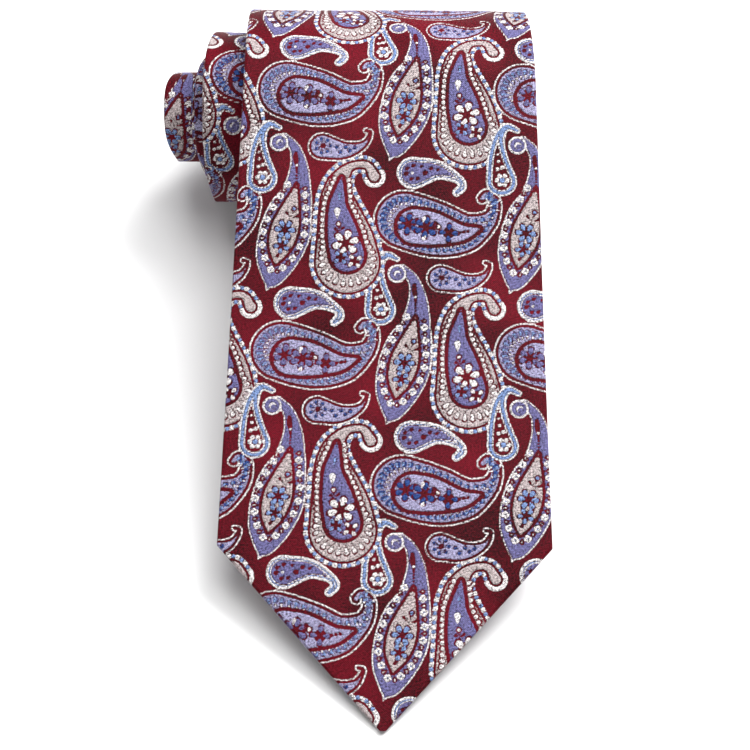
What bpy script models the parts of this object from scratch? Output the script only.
"""A men's silk necktie, rolled up with its wide blade drawn out over the table.

Every solid is a lofted strip.  One side profile, the face line, runs from the tip of the
wide blade, up the slope to the top of the roll, and round the spiral to the narrow end.
Each layer of the tie follows that line at its own depth behind the face.

X is across the tie, -Y points to the blade's tip, +Z is up, and the roll and the tip
stand on z = 0.
"""

import math
from dataclasses import dataclass

import bmesh
import bpy

MM = 0.001

# Cut of the tie, laid flat
TIE_LENGTH = 1473 * MM
BLADE_WIDTH = 95 * MM
BLADE_POINT = 53.2 * MM
TAIL_WIDTH = 48 * MM
TAIL_POINT = 26 * MM
TIP_BLUNT = 1.6 * MM
NECK_SEAM = 620 * MM
TAIL_SEAM = 1010 * MM

# Layers, as depths behind the face
SILK = 0.35 * MM
LINING_TOP = 0.50 * MM
LINING_BOTTOM = 1.15 * MM
TIE_THICKNESS = 1.65 * MM
LAYER_GAP = 0.15 * MM
JOIN_GAP = 0.30 * MM

# The roll
ROLL_RADIUS = 33.9 * MM
ROLL_PITCH = 2.5 * MM
FACETS_PER_TURN = 24
FACET_ANGLE = math.tau / FACETS_PER_TURN
LEAVE_ANGLE = 1.5 * FACET_ANGLE
BOTTOM_FACET = 13

# The drawn-out blade
HINGE_S = 196 * MM

# Back of the blade and of the tail
HEM = 12 * MM
BLADE_TACK_S = 150 * MM
TAIL_HEM = 9 * MM
TAIL_TACK_S = TIE_LENGTH - 95 * MM
BACK_SEAM_GAP = 1.0 * MM
TIP_SEAM_GAP = 0.3 * MM
THREAD = 0.4 * MM

KEEPER_S = (160 * MM, 180 * MM)
KEEPER_HALF_WIDTH = 30 * MM
KEEPER_BOW = 1.6 * MM
KEEPER_CLOTH = 0.6 * MM
WOVEN_LABEL_S = (116 * MM, 134 * MM)
WOVEN_LABEL_HALF_WIDTH = 25 * MM
CARE_LABEL_WIDTH = 22 * MM
CARE_LABEL_LENGTH = 26 * MM
CARE_LABEL_S = 156 * MM
CARE_LABEL_ANGLE = math.radians(6)
LABEL_CLOTH = 0.35 * MM

CARE_LABEL_X = 14 * MM
LINING_MARGIN = 1.0 * MM
LINING_INSET = 4 * MM
TACK_HALF_LENGTH = 3.5 * MM
TACK_HALF_WIDTH = 0.8 * MM
TIPPING_INSET = 1.5 * MM
SEAM_GAP = 0.9 * MM
SEAM_THREAD = 0.3 * MM
KEEPER_TACK_X = (27 * MM, 29 * MM)
KEEPER_TACK_S = (163 * MM, 177 * MM)

LEFT_REACH = 69.6 * MM
BLADE_STEPS = 16
BACK_CORNER = 7

# Colour and roughness of each kind of cloth and thread
SILK_FINISH = ((0.16, 0.012, 0.022), 0.42)
LINING_FINISH = ((0.72, 0.69, 0.62), 0.95)
TIPPING_FINISH = ((0.13, 0.014, 0.022), 0.45)
THREAD_FINISH = ((0.2, 0.02, 0.03), 0.6)
LABEL_FINISH = ((0.76, 0.75, 0.72), 0.5)


def interpolate(points, x):
    """Value at x of a line through (x, value) points."""
    for (x0, v0), (x1, v1) in zip(points, points[1:]):
        if x <= x1:
            return v0 + (v1 - v0) * max(0.0, (x - x0) / (x1 - x0))
    return points[-1][1]


def tie_width(s):
    """Width of the tie at distance s from the blade's tip."""
    return interpolate(
        (
            (0, TIP_BLUNT),
            (BLADE_POINT, BLADE_WIDTH),
            (HINGE_S, 88.2 * MM),
            (400 * MM, 76 * MM),
            (560 * MM, 59 * MM),
            (700 * MM, 44 * MM),
            (800 * MM, 38 * MM),
            (1000 * MM, 38 * MM),
            (1200 * MM, 42 * MM),
            (TIE_LENGTH - TAIL_POINT, TAIL_WIDTH),
            (TIE_LENGTH, TIP_BLUNT),
        ),
        s,
    )


def spiral_length(turn):
    """Length of cloth wound in the first turns of the roll."""
    return math.tau * (ROLL_RADIUS * turn - ROLL_PITCH * turn * turn / 2)


def left_edge(s):
    """X of the cloth's left edge: the inner turns have slid out of the roll's side."""
    blade_edge = -tie_width(HINGE_S) / 2
    return interpolate(
        (
            (HINGE_S, blade_edge),
            (HINGE_S + spiral_length(1.0), -41 * MM),
            (HINGE_S + spiral_length(2.15), -43 * MM),
            (HINGE_S + spiral_length(2.62), -57.4 * MM),
            (HINGE_S + spiral_length(5.2), -57.8 * MM),
            (HINGE_S + spiral_length(5.6), -60.4 * MM),
            (HINGE_S + spiral_length(7.2), -61.0 * MM),
            (HINGE_S + spiral_length(7.6), -LEFT_REACH),
            (TIE_LENGTH, -LEFT_REACH),
        ),
        s,
    )


def centre_x(s):
    """X of the tie's centre line."""
    if s <= HINGE_S:
        return 0.0
    return left_edge(s) + tie_width(min(s, TIE_LENGTH - TAIL_POINT)) / 2


BLADE_HALF_ANGLE = math.atan(BLADE_WIDTH / 2 / BLADE_POINT)
TAIL_HALF_ANGLE = math.atan(TAIL_WIDTH / 2 / TAIL_POINT)
BLADE_HEM_S = HEM / math.sin(BLADE_HALF_ANGLE)
TAIL_HEM_S = TIE_LENGTH - TAIL_HEM / math.sin(TAIL_HALF_ANGLE)
TAIL_POINT_S = TIE_LENGTH - TAIL_POINT


def flap_edge(s):
    """Half the distance between the two flaps on the tie's back."""
    return interpolate(
        (
            (BLADE_HEM_S, TIP_SEAM_GAP / 2),
            (BLADE_POINT, (BLADE_POINT - BLADE_HEM_S) * math.tan(BLADE_HALF_ANGLE)),
            (BLADE_TACK_S, BACK_SEAM_GAP / 2),
            (TAIL_TACK_S, BACK_SEAM_GAP / 2),
            (TAIL_POINT_S, (TAIL_HEM_S - TAIL_POINT_S) * math.tan(TAIL_HALF_ANGLE)),
            (TAIL_HEM_S, TIP_SEAM_GAP / 2),
        ),
        s,
    )


@dataclass
class Station:
    """One cross-section: where it is, and the unit step into the cloth's depth."""

    s: float
    y: float
    z: float
    depth_y: float = 0.0
    depth_z: float = 0.0

    def point(self, x, depth):
        """World position of a point x across and depth behind the face."""
        return (
            ORIGIN_X + centre_x(self.s) + x,
            self.y + self.depth_y * depth,
            self.z + self.depth_z * depth,
        )


def roll_radius_at(corner):
    """Radius of one corner of the spiral; a facet at the very bottom doesn't shrink it."""
    level_facets = (corner + FACETS_PER_TURN - BOTTOM_FACET - 1) // FACETS_PER_TURN
    return ROLL_RADIUS - ROLL_PITCH * (corner - level_facets) / (FACETS_PER_TURN - 1)


def roll_corner(corner):
    """(y, z) of one corner of the spiral, about the roll's axis."""
    angle = corner * FACET_ANGLE - LEAVE_ANGLE
    radius = roll_radius_at(corner)
    return radius * math.sin(angle), radius * math.cos(angle)


AXIS_Z = -roll_corner(BOTTOM_FACET)[1]
HINGE_Z = AXIS_Z + roll_corner(0)[1]
SLOPE_DROP = HINGE_Z - TIE_THICKNESS
BLADE_RUN = math.sqrt(HINGE_S**2 - SLOPE_DROP**2)
LEAVE_SLOPE = math.tan(LEAVE_ANGLE)
TIP_SLOPE = 2 * SLOPE_DROP / BLADE_RUN - LEAVE_SLOPE
ROLL_BACK = roll_corner(BACK_CORNER)[0]
ORIGIN_X = (LEFT_REACH - BLADE_WIDTH / 2) / 2
ROLL_AXIS_Y = (BLADE_RUN - roll_corner(0)[0] - ROLL_BACK) / 2
HINGE_Y = ROLL_AXIS_Y + roll_corner(0)[0]


def blade_place(s):
    """(y, z) of the face line s from the tip; the slope eases evenly towards the tip."""
    run = BLADE_RUN * (HINGE_S - s) / HINGE_S
    fall = LEAVE_SLOPE * run + (TIP_SLOPE - LEAVE_SLOPE) * run * run / (2 * BLADE_RUN)
    return HINGE_Y - run, HINGE_Z - fall


def face_corners():
    """Corners of the face line from the blade's tip to the end of the tail."""
    corners = []
    for step in range(BLADE_STEPS + 1):
        s = HINGE_S * step / BLADE_STEPS
        corners.append(Station(s, *blade_place(s)))
    corner = 1
    while corners[-1].s < TIE_LENGTH:
        y, z = roll_corner(corner)
        y += ROLL_AXIS_Y
        z += AXIS_Z
        last = corners[-1]
        corners.append(Station(last.s + math.hypot(y - last.y, z - last.z), y, z))
        corner += 1
    return corners


def face_stations():
    """All cross-sections: the corners, and every place where a layer starts or ends."""
    corners = face_corners()
    normals = []
    for here, after in zip(corners, corners[1:]):
        span = math.hypot(after.y - here.y, after.z - here.z)
        normals.append(((after.z - here.z) / span, -(after.y - here.y) / span))
    stations = []
    for index, corner in enumerate(corners[:-1]):
        before = normals[max(index - 1, 0)]
        after = normals[index]
        mitre = 1 + before[0] * after[0] + before[1] * after[1]
        corner.depth_y = (before[0] + after[0]) / mitre
        corner.depth_z = (before[1] + after[1]) / mitre
        stations.append(corner)
        following = corners[index + 1]
        for s in sorted(LAYER_ENDS):
            if corner.s < s < following.s and s <= TIE_LENGTH:
                part = (s - corner.s) / (following.s - corner.s)
                y = corner.y + (following.y - corner.y) * part
                z = corner.z + (following.z - corner.z) * part
                stations.append(Station(s, y, z, *after))
    return stations


def make_look(name, finish):
    """A plain Principled material for one part, from a (colour, roughness) finish."""
    colour, roughness = finish
    look = bpy.data.materials.new(name + "_finish")
    look.use_nodes = True
    shader = look.node_tree.nodes["Principled BSDF"]
    shader.inputs["Base Color"].default_value = (*colour, 1.0)
    shader.inputs["Roughness"].default_value = roughness
    shader.inputs["Metallic"].default_value = 0.0
    look.diffuse_color = (*colour, 1.0)
    return look


def loft(name, span, section, finish, pivot=(0.0, 0.0, 0.0)):
    """A closed solid through the section's ring of (x, depth) points at each station."""
    start, end = span
    slack = 1e-7
    rings = []
    mesh = bmesh.new()
    for station in STATIONS:
        if start - slack <= station.s <= end + slack:
            ring = []
            for x, depth in section(station.s):
                place = station.point(x, depth)
                ring.append(mesh.verts.new([value - base for value, base in zip(place, pivot)]))
            rings.append(ring)
    count = len(rings[0])
    for ring, following in zip(rings, rings[1:]):
        for i in range(count):
            j = (i + 1) % count
            mesh.faces.new((ring[i], ring[j], following[j], following[i]))
    mesh.faces.new(reversed(rings[0]))
    mesh.faces.new(rings[-1])
    bmesh.ops.recalc_face_normals(mesh, faces=mesh.faces)
    bmesh.ops.triangulate(mesh, faces=mesh.faces)
    data = bpy.data.meshes.new(name)
    mesh.to_mesh(data)
    mesh.free()
    data.materials.append(make_look(name, finish))
    part = bpy.data.objects.new(name, data)
    part.location = pivot
    bpy.context.collection.objects.link(part)
    return part


def slab(half_width, top, bottom):
    """Ring of a flat strip, given its half width as a function of s."""

    def ring(s):
        """The strip's four corners."""
        half = half_width(s)
        return ((-half, top), (half, top), (half, bottom), (-half, bottom))

    return ring


def fixed(value):
    """A half width that is the same at every station."""
    return lambda s: value


def folded_silk(s):
    """Ring of the silk: the face, its two folded edges, and the two flaps behind."""
    half = tie_width(s) / 2
    inner = half - SILK
    edge = flap_edge(s)
    back = TIE_THICKNESS
    return (
        (-half, 0.0),
        (half, 0.0),
        (half, back),
        (edge, back),
        (edge, back - SILK),
        (inner, back - SILK),
        (inner, SILK),
        (-inner, SILK),
        (-inner, back - SILK),
        (-edge, back - SILK),
        (-edge, back),
        (-half, back),
    )


def offset_patch(x_range, top, bottom):
    """Ring of a small flat patch between two x values."""
    left, right = x_range
    return lambda s: ((left, top), (right, top), (right, bottom), (left, bottom))


def keeper_section(s):
    """Ring of the keeper loop: flat where it is sewn down, bowed between."""
    steps = 8
    near = []
    for step in range(steps + 1):
        x = KEEPER_HALF_WIDTH * (2 * step / steps - 1)
        bow = KEEPER_BOW * max(0.0, 1 - (x / (0.8 * KEEPER_HALF_WIDTH)) ** 2)
        near.append((x, TIE_THICKNESS + LAYER_GAP + bow))
    far = [(x, depth + KEEPER_CLOTH) for x, depth in reversed(near)]
    return tuple(near + far)


def build_blade():
    """The drawn-out blade with its layers, keeper and labels, about the lift hinge."""
    pivot = (ORIGIN_X, HINGE_Y, HINGE_Z)
    end = HINGE_S - JOIN_GAP / 2
    flap_top = TIE_THICKNESS - SILK
    outside = TIE_THICKNESS + LAYER_GAP
    loft("blade_shell", (0, end), folded_silk, SILK_FINISH, pivot)
    loft(
        "blade_interlining",
        (LINING_INSET, end),
        slab(lining_half, LINING_TOP, LINING_BOTTOM),
        LINING_FINISH,
        pivot,
    )
    loft(
        "blade_tipping",
        (BLADE_HEM_S + TIPPING_INSET, BLADE_TACK_S - JOIN_GAP),
        slab(tipping_half, flap_top, TIE_THICKNESS),
        TIPPING_FINISH,
        pivot,
    )
    loft(
        "blade_slip_stitch",
        (BLADE_TACK_S, end),
        slab(fixed(THREAD / 2), flap_top, TIE_THICKNESS),
        THREAD_FINISH,
        pivot,
    )
    loft(
        "blade_bar_tack",
        (BLADE_TACK_S - TACK_HALF_WIDTH, BLADE_TACK_S + TACK_HALF_WIDTH),
        slab(fixed(TACK_HALF_LENGTH), outside, outside + SILK),
        THREAD_FINISH,
        pivot,
    )
    loft("keeper_loop", KEEPER_S, keeper_section, SILK_FINISH, pivot)
    tack_top = outside + KEEPER_CLOTH + LAYER_GAP
    for side, name in ((-1, "keeper_tack_left"), (1, "keeper_tack_right")):
        ends = sorted((side * KEEPER_TACK_X[0], side * KEEPER_TACK_X[1]))
        loft(name, KEEPER_TACK_S, offset_patch(ends, tack_top, tack_top + SILK), THREAD_FINISH, pivot)
    loft(
        "woven_label",
        WOVEN_LABEL_S,
        slab(fixed(WOVEN_LABEL_HALF_WIDTH), outside, outside + LABEL_CLOTH),
        LABEL_FINISH,
        pivot,
    )


def build_roll():
    """The rolled-up rest of the tie, from the lift hinge to the end of the tail."""
    start = HINGE_S + JOIN_GAP / 2
    flap_top = TIE_THICKNESS - SILK
    outside = TIE_THICKNESS + LAYER_GAP
    loft("blade_panel_rolled", (start, NECK_SEAM - SEAM_GAP / 2), folded_silk, SILK_FINISH)
    loft(
        "neck_panel",
        (NECK_SEAM + SEAM_GAP / 2, TAIL_SEAM - SEAM_GAP / 2),
        folded_silk,
        SILK_FINISH,
    )
    loft("tail_panel", (TAIL_SEAM + SEAM_GAP / 2, TIE_LENGTH), folded_silk, SILK_FINISH)
    loft(
        "roll_interlining",
        (start, TIE_LENGTH - LINING_INSET),
        slab(lining_half, LINING_TOP, LINING_BOTTOM),
        LINING_FINISH,
    )
    loft(
        "roll_slip_stitch",
        (start, TAIL_TACK_S),
        slab(fixed(THREAD / 2), flap_top, TIE_THICKNESS),
        THREAD_FINISH,
    )
    for name, seam in (("neck_seam_thread", NECK_SEAM), ("tail_seam_thread", TAIL_SEAM)):
        span = (seam - SEAM_THREAD / 2, seam + SEAM_THREAD / 2)
        loft(name, span, slab(seam_half, 0.0, SEAM_THREAD), THREAD_FINISH)
    loft(
        "tail_tipping",
        (TAIL_TACK_S + JOIN_GAP, TAIL_HEM_S - TIPPING_INSET),
        slab(tipping_half, flap_top, TIE_THICKNESS),
        TIPPING_FINISH,
    )
    loft(
        "tail_bar_tack",
        (TAIL_TACK_S - TACK_HALF_WIDTH, TAIL_TACK_S + TACK_HALF_WIDTH),
        slab(fixed(TACK_HALF_LENGTH), outside, outside + SILK),
        THREAD_FINISH,
    )


def build_care_label():
    """The care label, sewn along its upper edge, with its origin on that edge."""
    y, z = blade_place(CARE_LABEL_S)
    y_lower, z_lower = blade_place(CARE_LABEL_S - CARE_LABEL_LENGTH)
    slope = math.atan2(z - z_lower, y - y_lower)
    depth = TIE_THICKNESS + JOIN_GAP
    droop = slope + CARE_LABEL_ANGLE
    bpy.ops.mesh.primitive_cube_add(size=1.0)
    label = bpy.context.active_object
    label.name = "care_label"
    for corner in label.data.vertices:
        corner.co.x *= CARE_LABEL_WIDTH
        corner.co.y = (corner.co.y - 0.5) * CARE_LABEL_LENGTH
        corner.co.z = (corner.co.z - 0.5) * LABEL_CLOTH
    label.location = (
        ORIGIN_X + CARE_LABEL_X,
        y + math.sin(slope) * depth,
        z - math.cos(slope) * depth,
    )
    label.rotation_euler = (droop, 0.0, 0.0)
    label.data.materials.append(make_look("care_label", LABEL_FINISH))


def lining_half(s):
    """Half width of the interlining, a little narrower than the silk around it."""
    return tie_width(s) / 2 - LINING_MARGIN


def tipping_half(s):
    """Half width of the tipping, just clear of the flaps on each side of it."""
    return flap_edge(s) - JOIN_GAP


def seam_half(s):
    """Half width of a seam's thread, which stops short of the folded edges."""
    return tie_width(s) / 2 - SILK


LAYER_ENDS = (
    LINING_INSET,
    BLADE_HEM_S,
    BLADE_HEM_S + TIPPING_INSET,
    BLADE_POINT,
    *WOVEN_LABEL_S,
    BLADE_TACK_S - TACK_HALF_WIDTH,
    BLADE_TACK_S - JOIN_GAP,
    BLADE_TACK_S,
    BLADE_TACK_S + TACK_HALF_WIDTH,
    *KEEPER_S,
    *KEEPER_TACK_S,
    HINGE_S - JOIN_GAP / 2,
    HINGE_S + JOIN_GAP / 2,
    NECK_SEAM - SEAM_GAP / 2,
    NECK_SEAM - SEAM_THREAD / 2,
    NECK_SEAM + SEAM_THREAD / 2,
    NECK_SEAM + SEAM_GAP / 2,
    TAIL_SEAM - SEAM_GAP / 2,
    TAIL_SEAM - SEAM_THREAD / 2,
    TAIL_SEAM + SEAM_THREAD / 2,
    TAIL_SEAM + SEAM_GAP / 2,
    TAIL_TACK_S - TACK_HALF_WIDTH,
    TAIL_TACK_S,
    TAIL_TACK_S + JOIN_GAP,
    TAIL_TACK_S + TACK_HALF_WIDTH,
    TAIL_POINT_S,
    TAIL_HEM_S - TIPPING_INSET,
    TIE_LENGTH - LINING_INSET,
    TIE_LENGTH,
)
STATIONS = face_stations()


def clear_scene():
    """Remove everything that a new file starts with."""
    for item in list(bpy.data.objects):
        bpy.data.objects.remove(item, do_unlink=True)


def main():
    """Build every part of the tie."""
    clear_scene()
    build_blade()
    build_roll()
    build_care_label()


main()
